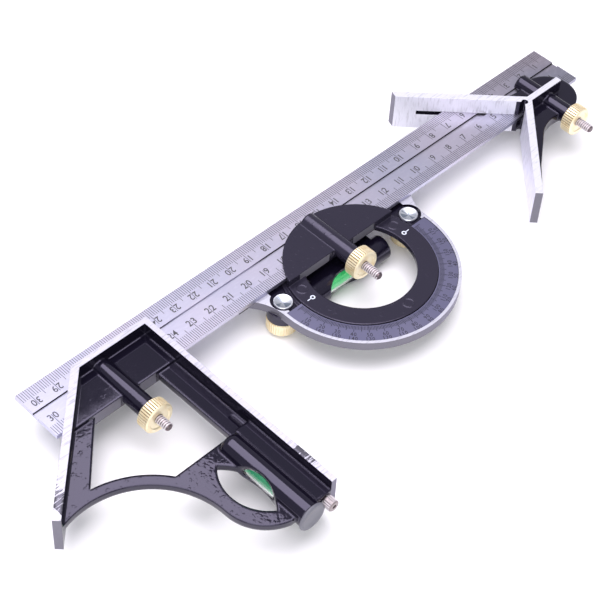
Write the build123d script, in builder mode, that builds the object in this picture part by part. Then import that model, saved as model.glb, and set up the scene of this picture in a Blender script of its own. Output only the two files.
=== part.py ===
"""Combination square set: a grooved steel rule carrying a square head, a protractor
head and a centre head.  Millimetres.  X runs along the rule from its zero end, Y runs
across it towards the clamp nuts, Z is up.  The origin is the middle of the zero end."""
from build123d import *
import math
import os

os.makedirs("parts", exist_ok=True)

# ---------------------------------------------------------------- rule
rule_length = 304.8
rule_width = 25.4
rule_thickness = 2.0
groove_width = 3.2
groove_depth = 0.8
rule_edge_y = rule_width / 2
rule_top_z = rule_thickness / 2

# ---------------------------------------------------------------- fits
slot_gap = 0.08          # clear height above and below the rule in every slot
edge_gap = 0.05          # clear width between the rule's edge and a slot's floor
slot_half = rule_thickness / 2 + slot_gap
slot_floor_y = rule_edge_y + edge_gap

# ---------------------------------------------------------------- castings
head_half = 9.0          # half the height of the square and centre heads
block_half = 3.0         # half the height of the square head's slotted block
thin_block_half = 2.4    # half the height of the other two slotted blocks
web_half = 1.5           # half the height of the thin webs
block_wall = 3.1         # metal left under the rule's edge
block_floor_y = rule_edge_y + block_wall

# ---------------------------------------------------------------- clamps (three alike)
clamp_z = rule_top_z     # the clamp bolts lie level with the rule's top face
boss_radius = 4.3
clamp_bore = 3.0
hook_radius = 2.92
hook_end_y = -0.8
hook_flat_gap = 0.06
hook_travel = 0.35        # how far a bolt moves off the groove's wall when its nut is slackened
nib_gap = 0.08
nib_half_width = 1.9
shank_radius = 2.0
shank_start_y = rule_edge_y + 5.7
thread_gap = 0.05
knurl_radius = 6.85
knurl_length = 5.9
nut_dish_radius = 4.6
nut_dish_depth = 0.5
nut_face_gap = 0.05
spring_wire = 0.5
spring_radius = 2.5

# ---------------------------------------------------------------- square head
square_face_x = 246.0
square_top_y = -4.5
square_corner_x = 283.5
mitre_run = 50.0         # reach of the 45 degree face along X and along Y
square_face_end_y = 100.7
face_rim = 2.55
mitre_rim = 3.3
square_clamp_x = 271.5
square_boss_end_y = rule_edge_y + 14.1
square_stub = 5.5         # thread standing out past the nut
leg_width = 11.6
strap_x = 318.0
strap_y = 80.1
strap_inner = 35.9
strap_outer = 40.5
eye_bend_x = 262.0
eye_bend_radius = 20.1
window_floor_y = 56.6
vial_x = 260.0
vial_housing_radius = 5.6
vial_housing_start_y = 57.2
vial_housing_end_y = 101.9
housing_round = 3.2      # rounding of the housing's closed end
vial_bore_start_y = 61.4
vial_glass_radius = 4.4
vial_wall = 1.0
vial_gap = 0.06
vial_length = 34.0
cap_radius = 6.3
cap_thickness = 1.3
cap_spigot = 4.6
shelf_half = 4.0
shelf_edge_x = 256.0

# ---------------------------------------------------------------- scriber
scriber_x = 250.9
needle_radius = 1.0
needle_gap = 0.06
needle_length = 50.0
needle_point = 6.0
needle_bore = 1.4
bush_radius = 1.9
bush_length = 12.0
scriber_knob_radius = 2.6
scriber_knob_length = 4.2

# ---------------------------------------------------------------- protractor head
turret_x = 156.8
turret_y = rule_edge_y + 14.2
turret_radius = 32.2
turret_hole = turret_radius - 8.6
turret_ring_top_z = -0.9
turret_boss_end_y = turret_y - 2.9
turret_stub = 8.0
flange_radius = turret_radius + 1.8
flange_gap = 0.08
flange_height = 0.7
frame_clearance = 0.1     # between the rule's underside and the frame's upper face
frame_top_z = -rule_top_z - frame_clearance
flange_z = frame_top_z - 2.1
frame_ledge_gap = 0.1
frame_base_z = frame_top_z - 4.2
frame_opening = turret_radius - 3.7
scale_inner = turret_radius + 0.3
scale_outer = scale_inner + 8.0
scale_thickness = 0.8
scale_seat_z = frame_top_z - 1.1
scale_end = -1.6
frame_radius = scale_outer + 1.4
base_face_y = rule_edge_y - 7.9
base_bar = 4.0
base_bar_z = frame_base_z - 2.7
base_half = frame_radius + 9.1
ear_arc = 22.0
ear_start = -1.7
ear_foot = 2.9            # straight foot left under each ear
lock_x = turret_radius + 4.85
lock_y = -7.4
lock_seat_radius = 5.4
lock_seat_z = frame_top_z - 1.5
lock_boss_radius = 6.6
lock_boss_z = frame_base_z - 4.0
lock_nut_height = 6.6
lock_head_radius = 4.1
lock_head_height = 1.2
lock_end_z = lock_boss_z - 8.1
frame_vial_y = base_face_y + 14.0
frame_vial_z = frame_base_z - 6.4
frame_vial_radius = 5.6
frame_vial_start_x = turret_x - 22.2
frame_vial_end_x = turret_x + 22.2
frame_glass_radius = 4.2
frame_window_radius = 13.0
frame_window_x = turret_x + 4.2
frame_window_y = frame_vial_y + 14.4

# ---------------------------------------------------------------- centre head
vee_x = 38.06
arm_reach = 40.7
arm_thickness = 3.37
fin_reach = 32.0         # reach of the thin fin behind each arm
arm_slant = 1.6          # the -Y arm's back edge is longer than its inner edge
rib_width = 2.9
rib_end_x = 14.5
vee_relief = 1.5
centre_web_x = 19.9
centre_web_radius = 12.7
centre_slot_end_x = 71.8
centre_clamp_x = 22.4
centre_boss_end_y = rule_edge_y + 14.4
centre_stub = 6.6


def across(x, y, z):
    """A plane whose normal runs along +Y, for everything bored across the rule."""
    return Plane(origin=(x, y, z), x_dir=(1, 0, 0), z_dir=(0, 1, 0))


def along(x, y, z):
    """A plane whose normal runs along +X."""
    return Plane(origin=(x, y, z), x_dir=(0, 1, 0), z_dir=(1, 0, 0))


def block(x0, x1, y0, y1, z0, z1, mode=Mode.ADD):
    """A rectangular block between two corners."""
    with Locations(((x0 + x1) / 2, (y0 + y1) / 2, (z0 + z1) / 2)):
        Box(x1 - x0, y1 - y0, z1 - z0, mode=mode)


def rod(plane, radius, length, mode=Mode.ADD):
    """A round bar, or a bore, standing on a plane."""
    with BuildSketch(plane) as disc:
        Circle(radius)
    extrude(disc.sketch, amount=length, mode=mode)


def save(part, name):
    """Label a finished piece and write its STEP file."""
    part.label = name
    export_step(part, "parts/" + name + ".step")


# ================================================================ rule
with BuildPart() as rule:
    block(0, rule_length, -rule_edge_y, rule_edge_y, -rule_top_z, rule_top_z)
    block(-1, rule_length + 1, -groove_width / 2, groove_width / 2,
          rule_top_z - groove_depth, rule_top_z + 1, Mode.SUBTRACT)
save(rule.part, "rule")


# ================================================================ clamp hardware
def clamp_bore_cut(x, boss_end_y):
    """The straight bore a clamp bolt runs in, open towards the nut."""
    start = hook_end_y - hook_travel - 0.15
    rod(across(x, start, clamp_z), clamp_bore, boss_end_y - start + 1, Mode.SUBTRACT)


def rule_slot_cut(x0, x1):
    """The slot the rule slides in, open on the side away from the nut."""
    block(x0, x1, -60, slot_floor_y, -slot_half, slot_half, Mode.SUBTRACT)


def make_clamp(x, boss_end_y, stub, prefix):
    """One draw bolt, its spring and its knurled nut."""
    nut_y = boss_end_y + nut_face_gap
    end_y = nut_y + knurl_length + stub
    with BuildPart() as bolt:
        rod(across(x, hook_end_y, clamp_z), hook_radius, shank_start_y - hook_end_y)
        block(x - 4, x + 4, hook_end_y - 1, slot_floor_y + hook_travel + 0.1,
              clamp_z - 4, clamp_z + hook_flat_gap, Mode.SUBTRACT)
        block(x - nib_half_width, x + nib_half_width, hook_end_y,
              groove_width / 2 - nib_gap, rule_top_z - groove_depth + 0.15, clamp_z + 1)
        rod(across(x, shank_start_y - 1, clamp_z), shank_radius, end_y - shank_start_y + 1)
        tip = bolt.edges().filter_by(GeomType.CIRCLE).sort_by(Axis.Y)[-1]
        chamfer(tip, 0.4)
    save(bolt.part, prefix + "_clamp_bolt")

    with BuildPart() as nut:
        rod(across(x, nut_y, clamp_z), knurl_radius, knurl_length)
        rim = nut.edges().filter_by(GeomType.CIRCLE)
        chamfer(rim, 0.35)
        rod(across(x, nut_y + knurl_length - nut_dish_depth, clamp_z), nut_dish_radius,
            nut_dish_depth + 1, Mode.SUBTRACT)
        rod(across(x, nut_y - 1, clamp_z), shank_radius + thread_gap, 12, Mode.SUBTRACT)
    save(nut.part, prefix + "_clamp_nut")

    coil = nut_y - shank_start_y - 2 * nut_face_gap - spring_wire
    start = Vector(x, shank_start_y + nut_face_gap + spring_wire / 2, clamp_z)
    with BuildPart() as spring:
        with BuildLine() as path:
            Helix(pitch=coil / 4, height=coil, radius=spring_radius, center=start,
                  direction=(0, 1, 0))
        with BuildSketch(Plane(origin=path.line @ 0, z_dir=path.line % 0)) as section:
            Circle(spring_wire / 2)
        sweep(section.sketch, path=path.line)
    save(spring.part, prefix + "_clamp_spring")


make_clamp(square_clamp_x, square_boss_end_y, square_stub, "square")
make_clamp(turret_x, turret_boss_end_y, turret_stub, "protractor")
make_clamp(centre_clamp_x, centre_boss_end_y, centre_stub, "centre")

# ================================================================ square head
mitre_sum = square_corner_x - square_top_y                 # X - Y along the 45 degree face
mitre_in = mitre_sum - mitre_rim * math.sqrt(2)            # X - Y along the rim's inner edge
mitre_mid = (mitre_sum + mitre_in) / 2
rim_in_x = square_face_x + face_rim
rim_in_y = square_top_y + face_rim
tip_x = square_corner_x + mitre_run
tip_y = square_top_y + mitre_run
tip_step = mitre_rim / math.sqrt(2)
leg_x = square_face_x + leg_width


def on_circle(cx, cy, radius, degrees):
    """A point on a circle, by angle."""
    turn = math.radians(degrees)
    return (cx + radius * math.cos(turn), cy + radius * math.sin(turn))


with BuildPart() as square_head:
    with BuildSketch():
        with BuildLine():
            Polyline(
                (square_face_x, square_top_y),
                (square_corner_x, square_top_y),
                (tip_x, tip_y),
                (tip_x - tip_step, tip_y + tip_step),
                (mitre_in + rim_in_y, rim_in_y),
                (rim_in_x, rim_in_y),
                (rim_in_x, square_face_end_y),
                (square_face_x, square_face_end_y),
                close=True,
            )
        make_face()
    extrude(amount=head_half, both=True)

    # the slotted block under the top rim
    with BuildSketch():
        with BuildLine():
            Polyline(
                (square_face_x + 1, square_top_y + 1),
                (mitre_mid + square_top_y + 1, square_top_y + 1),
                (mitre_mid + block_floor_y, block_floor_y),
                (square_face_x + 1, block_floor_y),
                close=True,
            )
        make_face()
    extrude(amount=block_half, both=True)

    # the thin web: 45 degree leg, curved strap and the plate round the eye
    strap_tip = on_circle(strap_x, strap_y, strap_inner, -71)
    bend = (strap_x - strap_inner, strap_y)
    eye_end = on_circle(eye_bend_x, strap_y, eye_bend_radius, 75)
    corner_turn = -180 + math.degrees(math.asin((strap_y - window_floor_y) / strap_outer))
    strap_corner = on_circle(strap_x, strap_y, strap_outer, corner_turn)
    leg_corner = on_circle(strap_x, strap_y, strap_outer, -99)
    with BuildSketch():
        with BuildLine():
            ThreePointArc(strap_tip, on_circle(strap_x, strap_y, strap_inner, -125), bend)
            ThreePointArc(bend, on_circle(eye_bend_x, strap_y, eye_bend_radius, 37), eye_end)
            Polyline(eye_end, (vial_x, eye_end[1]), (vial_x, window_floor_y), strap_corner)
            ThreePointArc(strap_corner, on_circle(strap_x, strap_y, strap_outer, -122), leg_corner)
            Polyline(
                leg_corner,
                (leg_corner[0] - 22.6, block_floor_y),
                (leg_corner[0] - 22.6, block_floor_y - 2),
                (mitre_mid + block_floor_y - 2, block_floor_y - 2),
                (mitre_mid + tip_y - 1.5, tip_y - 1.5),
                strap_tip,
            )
        make_face()
    extrude(amount=web_half, both=True)

    # the upright leg, the shelf over the scriber and the round vial housing
    block(square_face_x + 1, leg_x, block_floor_y - 2, square_face_end_y,
          -web_half, web_half)
    block(square_face_x + 1, shelf_edge_x, vial_housing_start_y, square_face_end_y,
          -shelf_half, shelf_half)
    with BuildSketch(Plane(origin=(vial_x, 0, 0), x_dir=(1, 0, 0), z_dir=(0, 0, 1))):
        with BuildLine():
            Polyline(
                (vial_housing_radius, vial_housing_start_y + housing_round),
                (vial_housing_radius, vial_housing_end_y),
                (0, vial_housing_end_y),
                (0, vial_housing_start_y),
                (vial_housing_radius - housing_round, vial_housing_start_y),
            )
            RadiusArc((vial_housing_radius - housing_round, vial_housing_start_y),
                      (vial_housing_radius, vial_housing_start_y + housing_round),
                      -housing_round)
        make_face()
    revolve(axis=Axis((vial_x, 0, 0), (0, 1, 0)))

    # the clamp boss
    rod(across(square_clamp_x, rim_in_y - 0.5, clamp_z), boss_radius,
        square_boss_end_y - rim_in_y + 0.5)

    # bores, the eye and the slot
    rod(across(vial_x, vial_bore_start_y, 0), vial_glass_radius + vial_gap,
        60, Mode.SUBTRACT)
    with BuildSketch():
        with BuildLine():
            ThreePointArc((270.4, 63.3), (276.4, 78.1), (268.2, 92.7))
            ThreePointArc((268.2, 92.7), (262.8, 79.2), (270.4, 63.3))
        make_face()
    extrude(amount=head_half, both=True, mode=Mode.SUBTRACT)
    rod(across(scriber_x, square_face_end_y - needle_length - 1, 0), needle_bore,
        needle_length + 5, Mode.SUBTRACT)
    rod(across(scriber_x, square_face_end_y - bush_length, 0), bush_radius,
        bush_length + 5, Mode.SUBTRACT)
    clamp_bore_cut(square_clamp_x, square_boss_end_y)
    rule_slot_cut(square_face_x - 5, square_corner_x + 40)
save(square_head.part, "square_head")

# ---------------------------------------------------------------- square head's vial
glass_start_y = vial_bore_start_y + vial_gap


def make_vial(plane, radius, length, prefix):
    """A sealed glass tube and the liquid in it, with a bubble left at the top."""
    inner = radius - vial_wall
    with BuildPart() as glass:
        rod(plane, radius, length)
        rod(plane.offset(1.5), inner, length - 3, Mode.SUBTRACT)
    save(glass.part, prefix + "_vial_glass")
    middle = plane.origin + plane.z_dir * (length / 2) + Vector(0, 0, inner + 1.1)
    with BuildPart() as liquid:
        rod(plane.offset(1.55), inner - 0.03, length - 3.1)
        with Locations(Plane(origin=middle, x_dir=plane.x_dir, z_dir=plane.z_dir)):
            with Locations((0, 0, 0)):
                Cylinder(radius=2.6, height=8, mode=Mode.SUBTRACT)
    save(liquid.part, prefix + "_vial_liquid")


make_vial(across(vial_x, glass_start_y, 0), vial_glass_radius, vial_length, "square")

with BuildPart() as vial_cap:
    rod(across(vial_x, vial_housing_end_y + 0.02, 0), cap_radius, cap_thickness)
    outer = vial_cap.edges().filter_by(GeomType.CIRCLE).sort_by(Axis.Y)[-1]
    fillet(outer, 0.5)
    rod(across(vial_x, vial_housing_end_y - cap_spigot, 0), vial_glass_radius, cap_spigot + 0.5)
save(vial_cap.part, "square_vial_cap")

# ---------------------------------------------------------------- scriber
with BuildPart() as bush:
    rod(across(scriber_x, square_face_end_y - bush_length, 0), bush_radius, bush_length)
    rod(across(scriber_x, square_face_end_y - bush_length - 1, 0), needle_radius + needle_gap,
        bush_length + 2, Mode.SUBTRACT)
save(bush.part, "scriber_bush")

needle_tip_y = square_face_end_y - needle_length
with BuildPart() as needle:
    with BuildSketch(Plane(origin=(scriber_x, 0, 0), x_dir=(1, 0, 0), z_dir=(0, 0, 1))):
        with BuildLine():
            Polyline(
                (0, needle_tip_y),
                (needle_radius, needle_tip_y + needle_point),
                (needle_radius, square_face_end_y + 3),
                (0, square_face_end_y + 3),
                close=True,
            )
        make_face()
    revolve(axis=Axis((scriber_x, 0, 0), (0, 1, 0)))
save(needle.part, "scriber_needle")

with BuildPart() as knob:
    rod(across(scriber_x, square_face_end_y + 0.1, 0), scriber_knob_radius, scriber_knob_length)
    chamfer(knob.edges().filter_by(GeomType.CIRCLE), 0.3)
    rod(across(scriber_x, square_face_end_y - 1, 0), needle_radius, 4.0, Mode.SUBTRACT)
save(knob.part, "scriber_knob")

# ================================================================ protractor head
lock_spots = [(turret_x - lock_x, turret_y + lock_y), (turret_x + lock_x, turret_y + lock_y)]
recess_z = flange_z - frame_ledge_gap

with BuildPart() as turret:
    with BuildSketch():
        with Locations((turret_x, turret_y)):
            Circle(turret_radius)
        with Locations((turret_x, block_floor_y + 50)):
            Rectangle(200, 100, mode=Mode.SUBTRACT)
    extrude(amount=thin_block_half, both=True)
    with BuildSketch(Plane.XY.offset(flange_z)):
        with Locations((turret_x, turret_y)):
            Circle(turret_radius)
            Circle(turret_hole, mode=Mode.SUBTRACT)
    extrude(amount=turret_ring_top_z - flange_z)
    with BuildSketch(Plane.XY.offset(flange_z)):
        with Locations((turret_x, turret_y)):
            Circle(flange_radius)
            Circle(turret_radius - 1, mode=Mode.SUBTRACT)
    extrude(amount=flange_height)
    start_y = turret_y - turret_radius + 1.0
    rod(across(turret_x, start_y, clamp_z), boss_radius, turret_boss_end_y - start_y)
    block(turret_x - 10, turret_x + 10, -20, 40, flange_z - 3, flange_z, Mode.SUBTRACT)
    clamp_bore_cut(turret_x, turret_boss_end_y)
    rule_slot_cut(turret_x - 60, turret_x + 60)
save(turret.part, "protractor_turret")

with BuildPart() as frame:
    # the plate: half ring, two flared ears and a straight base
    right = turret_x + frame_radius
    left = turret_x - frame_radius
    turn_y = turret_y + ear_start
    drop = turn_y - base_face_y - ear_foot
    flare = ear_arc - math.sqrt(ear_arc ** 2 - drop ** 2)
    half = drop / 2
    half_flare = ear_arc - math.sqrt(ear_arc ** 2 - half ** 2)
    with BuildSketch(Plane.XY.offset(frame_base_z)):
        with BuildLine():
            Polyline(
                (left - flare, turn_y - drop),
                (turret_x - base_half, turn_y - drop),
                (turret_x - base_half, base_face_y),
                (turret_x + base_half, base_face_y),
                (turret_x + base_half, turn_y - drop),
                (right + flare, turn_y - drop),
            )
            ThreePointArc((right + flare, turn_y - drop), (right + half_flare, turn_y - half),
                          (right, turn_y))
            Line((right, turn_y), (right, turret_y))
            ThreePointArc((right, turret_y), (turret_x, turret_y + frame_radius),
                          (left, turret_y))
            Line((left, turret_y), (left, turn_y))
            ThreePointArc((left, turn_y), (left - half_flare, turn_y - half),
                          (left - flare, turn_y - drop))
        make_face()
    extrude(amount=frame_top_z - frame_base_z)
    block(turret_x - base_half, turret_x + base_half, base_face_y, base_face_y + base_bar,
          base_bar_z, frame_base_z)
    for spot in lock_spots:
        with BuildSketch(Plane.XY.offset(lock_boss_z)):
            with Locations(spot):
                Circle(lock_boss_radius)
        extrude(amount=frame_base_z - lock_boss_z + 1)

    # opening, turret recess, scale seat and bolt seats
    with BuildSketch(Plane.XY.offset(lock_boss_z - 1)):
        with Locations((turret_x, turret_y)):
            Circle(frame_opening)
        with Locations((turret_x, base_face_y + base_bar + 0.6 - 50)):
            Rectangle(200, 100, mode=Mode.SUBTRACT)
    extrude(amount=20, mode=Mode.SUBTRACT)
    with BuildSketch(Plane.XY.offset(recess_z)):
        with Locations((turret_x, turret_y)):
            Circle(flange_radius + flange_gap)
    extrude(amount=10, mode=Mode.SUBTRACT)
    with BuildSketch(Plane.XY.offset(scale_seat_z)):
        with Locations((turret_x, turret_y)):
            Circle(scale_outer + 0.1)
        with Locations((turret_x, turret_y + scale_end - 50)):
            Rectangle(200, 100, mode=Mode.SUBTRACT)
    extrude(amount=10, mode=Mode.SUBTRACT)
    with BuildSketch(Plane.XY.offset(lock_seat_z)):
        with Locations(*lock_spots):
            Circle(lock_seat_radius)
        with Locations((turret_x, turret_y + scale_end - 8.4)):
            Rectangle(2 * (lock_x + 2), 16.8)
    extrude(amount=10, mode=Mode.SUBTRACT)
    for spot in lock_spots:
        with BuildSketch(Plane.XY.offset(lock_boss_z - 1)):
            with Locations(spot):
                Circle(shank_radius + thread_gap)
        extrude(amount=20, mode=Mode.SUBTRACT)

    # the level's housing under the base
    rod(along(frame_vial_start_x, frame_vial_y, frame_vial_z), frame_vial_radius,
        frame_vial_end_x - frame_vial_start_x)
    block(turret_x - 18, turret_x + 18, base_face_y + base_bar - 0.5, frame_vial_y,
          base_bar_z, frame_base_z - 1.1)
    block(turret_x - 18, turret_x + 18, base_face_y + base_bar - 0.5,
          base_face_y + base_bar + 0.6, base_bar_z, frame_base_z)
    rod(along(frame_vial_start_x - 1, frame_vial_y, frame_vial_z),
        frame_glass_radius + vial_gap, frame_vial_end_x - frame_vial_start_x + 2,
        Mode.SUBTRACT)
    with BuildSketch(Plane.XY.offset(frame_vial_z - 8)):
        with Locations((frame_window_x, frame_window_y)):
            Circle(frame_window_radius)
    extrude(amount=13.5, mode=Mode.SUBTRACT)
save(frame.part, "protractor_frame")

with BuildPart() as scale:
    with BuildSketch(Plane.XY.offset(scale_seat_z)):
        with Locations((turret_x, turret_y)):
            Circle(scale_outer)
            Circle(scale_inner, mode=Mode.SUBTRACT)
        with Locations((turret_x, turret_y + scale_end + 0.05 - 50)):
            Rectangle(200, 100, mode=Mode.SUBTRACT)
    extrude(amount=scale_thickness)
save(scale.part, "protractor_scale")

for side, spot in zip(("right", "left"), lock_spots):
    head_z = flange_z + flange_height + 0.02
    with BuildPart() as lock_bolt:
        with BuildSketch(Plane.XY.offset(head_z)):
            with Locations(spot):
                Circle(lock_head_radius)
        extrude(amount=lock_head_height)
        with BuildSketch(Plane.XY.offset(lock_end_z)):
            with Locations(spot):
                Circle(shank_radius)
        extrude(amount=head_z - lock_end_z + 0.1)
        with Locations((spot[0], spot[1], head_z + lock_head_height - 0.35)):
            Cone(bottom_radius=0.8, top_radius=3.5, height=0.7, mode=Mode.SUBTRACT)
    save(lock_bolt.part, "lock_bolt_" + side)

    nut_top = lock_boss_z - 0.05
    with BuildPart() as lock_nut:
        with BuildSketch(Plane.XY.offset(nut_top - lock_nut_height)):
            with Locations(spot):
                Circle(knurl_radius - 0.2)
        extrude(amount=lock_nut_height)
        chamfer(lock_nut.edges().filter_by(GeomType.CIRCLE), 0.35)
        with BuildSketch(Plane.XY.offset(nut_top - 10)):
            with Locations(spot):
                Circle(shank_radius + thread_gap)
        extrude(amount=20, mode=Mode.SUBTRACT)
    save(lock_nut.part, "lock_nut_" + side)

frame_glass_start = turret_x - vial_length / 2
make_vial(along(frame_glass_start, frame_vial_y, frame_vial_z), frame_glass_radius,
          vial_length, "protractor")

with BuildPart() as plugs:
    first = frame_vial_start_x + 0.6
    last = frame_vial_end_x - 0.6
    rod(along(first, frame_vial_y, frame_vial_z), frame_glass_radius,
        frame_glass_start - 0.05 - first)
    rod(along(frame_glass_start + vial_length + 0.05, frame_vial_y, frame_vial_z),
        frame_glass_radius, last - frame_glass_start - vial_length - 0.05)
save(plugs.part, "protractor_vial_plugs")

# ================================================================ centre head
with BuildPart() as centre_head:
    back = arm_thickness * math.sqrt(2)
    step = arm_thickness / math.sqrt(2)
    slant = arm_slant / math.sqrt(2)
    with BuildSketch():
        with BuildLine():
            Polyline(
                (vee_x, rule_edge_y),
                (vee_x + arm_reach, rule_edge_y + arm_reach),
                (vee_x + arm_reach - step, rule_edge_y + arm_reach + step),
                (vee_x - back, rule_edge_y),
                (vee_x + arm_reach - step + slant, rule_edge_y - arm_reach - step - slant),
                (vee_x + arm_reach, rule_edge_y - arm_reach),
                close=True,
            )
        make_face()
        with Locations(((rib_end_x + vee_x - 2) / 2, rule_edge_y)):
            Rectangle(vee_x - 2 - rib_end_x, rib_width)
        with Locations((vee_x, rule_edge_y)):
            Circle(vee_relief, mode=Mode.SUBTRACT)
    extrude(amount=head_half, both=True)

    with BuildSketch():
        with Locations((centre_web_x, rule_edge_y)):
            Circle(centre_web_radius)
        for sign in (1, -1):
            with BuildLine():
                Line((centre_web_x, rule_edge_y), (centre_web_x + 3, rule_edge_y + sign * 12.1))
                ThreePointArc((centre_web_x + 3, rule_edge_y + sign * 12.1),
                              (centre_web_x + 13, rule_edge_y + sign * 11.3),
                              (centre_web_x + 22, rule_edge_y + sign * 15.6))
                Polyline(
                    (centre_web_x + 22, rule_edge_y + sign * 15.6),
                    (vee_x + fin_reach - 12.4, rule_edge_y + sign * (fin_reach - 4.5)),
                    (vee_x + fin_reach, rule_edge_y + sign * (fin_reach + 6.6)),
                    (vee_x + fin_reach, rule_edge_y + sign * (fin_reach + back / 2)),
                    (vee_x - back / 2, rule_edge_y),
                    (centre_web_x, rule_edge_y),
                )
            make_face()
    extrude(amount=thin_block_half, both=True)

    rod(across(centre_clamp_x, hook_end_y - 1.3, clamp_z), boss_radius,
        centre_boss_end_y - hook_end_y + 1.3)
    clamp_bore_cut(centre_clamp_x, centre_boss_end_y)
    rule_slot_cut(-20, centre_slot_end_x)
save(centre_head.part, "centre_head")
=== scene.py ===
"""A combination square set: a grooved steel rule that carries a square head, a turning
protractor head and a centre head, each held by a knurled clamp nut."""

import math

import bmesh
import bpy
from mathutils import Matrix, Vector


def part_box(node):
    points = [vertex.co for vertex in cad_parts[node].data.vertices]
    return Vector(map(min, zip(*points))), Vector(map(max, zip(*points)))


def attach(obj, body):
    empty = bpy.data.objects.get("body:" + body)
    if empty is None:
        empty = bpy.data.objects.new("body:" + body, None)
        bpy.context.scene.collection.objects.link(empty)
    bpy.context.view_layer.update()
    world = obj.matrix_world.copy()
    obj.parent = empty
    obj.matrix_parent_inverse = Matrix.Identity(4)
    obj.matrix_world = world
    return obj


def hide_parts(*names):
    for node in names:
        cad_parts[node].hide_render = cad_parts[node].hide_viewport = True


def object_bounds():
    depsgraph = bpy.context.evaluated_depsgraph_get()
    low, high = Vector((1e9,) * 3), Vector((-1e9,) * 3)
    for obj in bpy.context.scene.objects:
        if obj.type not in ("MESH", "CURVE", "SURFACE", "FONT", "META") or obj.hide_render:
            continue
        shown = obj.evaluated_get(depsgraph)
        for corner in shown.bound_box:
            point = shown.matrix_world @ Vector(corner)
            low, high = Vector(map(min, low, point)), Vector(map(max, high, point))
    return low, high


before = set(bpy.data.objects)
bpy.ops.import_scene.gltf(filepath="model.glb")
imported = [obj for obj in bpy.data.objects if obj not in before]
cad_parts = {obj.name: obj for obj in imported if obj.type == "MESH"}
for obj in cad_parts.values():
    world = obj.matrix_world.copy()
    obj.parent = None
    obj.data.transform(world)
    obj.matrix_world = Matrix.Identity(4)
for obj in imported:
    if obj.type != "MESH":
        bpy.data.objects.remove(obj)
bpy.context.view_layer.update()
scene = bpy.context.scene
MM = 0.001

# ================================================================ steel rule
# The rule is a strip of tempered steel, ground to a satin grey with one square groove down its
# upper face. Its millimetre marks and its centimetre numbers are etched and filled with black.


class Value:
    """A number socket that can be used in sums; each sum adds a Math node."""

    def __init__(self, tree, socket):
        self.tree = tree
        self.socket = socket

    def math(self, operation, first, second):
        node = self.tree.nodes.new("ShaderNodeMath")
        node.operation = operation
        for socket, value in zip(node.inputs, (first, second)):
            if isinstance(value, Value):
                self.tree.links.new(value.socket, socket)
            elif value is not None:
                socket.default_value = value
        return Value(self.tree, node.outputs[0])

    def __add__(self, other):
        return self.math("ADD", self, other)

    def __radd__(self, other):
        return self.math("ADD", other, self)

    def __sub__(self, other):
        return self.math("SUBTRACT", self, other)

    def __rsub__(self, other):
        return self.math("SUBTRACT", other, self)

    def __mul__(self, other):
        return self.math("MULTIPLY", self, other)

    def __rmul__(self, other):
        return self.math("MULTIPLY", other, self)

    def __truediv__(self, other):
        return self.math("DIVIDE", self, other)

    def __pow__(self, other):
        return self.math("POWER", self, other)

    def __gt__(self, other):
        return self.math("GREATER_THAN", self, other)

    def __lt__(self, other):
        return self.math("LESS_THAN", self, other)

    def __abs__(self):
        return self.math("ABSOLUTE", self, None)

    def __or__(self, other):
        return self.math("MAXIMUM", self, other)

    def __and__(self, other):
        return self.math("MINIMUM", self, other)


class Tree:
    """A node tree, for a finish or for Geometry Nodes."""

    def __init__(self, tree):
        self.tree = tree

    def node(self, kind, settings=None, inputs=None):
        made = self.tree.nodes.new(kind)
        for name, value in (settings or {}).items():
            setattr(made, name, value)
        for name, value in (inputs or {}).items():
            if isinstance(value, Value):
                self.tree.links.new(value.socket, made.inputs[name])
            elif isinstance(value, bpy.types.NodeSocket):
                self.tree.links.new(value, made.inputs[name])
            else:
                made.inputs[name].default_value = value
        return made

    def value(self, node, output=0):
        return Value(self.tree, node.outputs[output])


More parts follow.
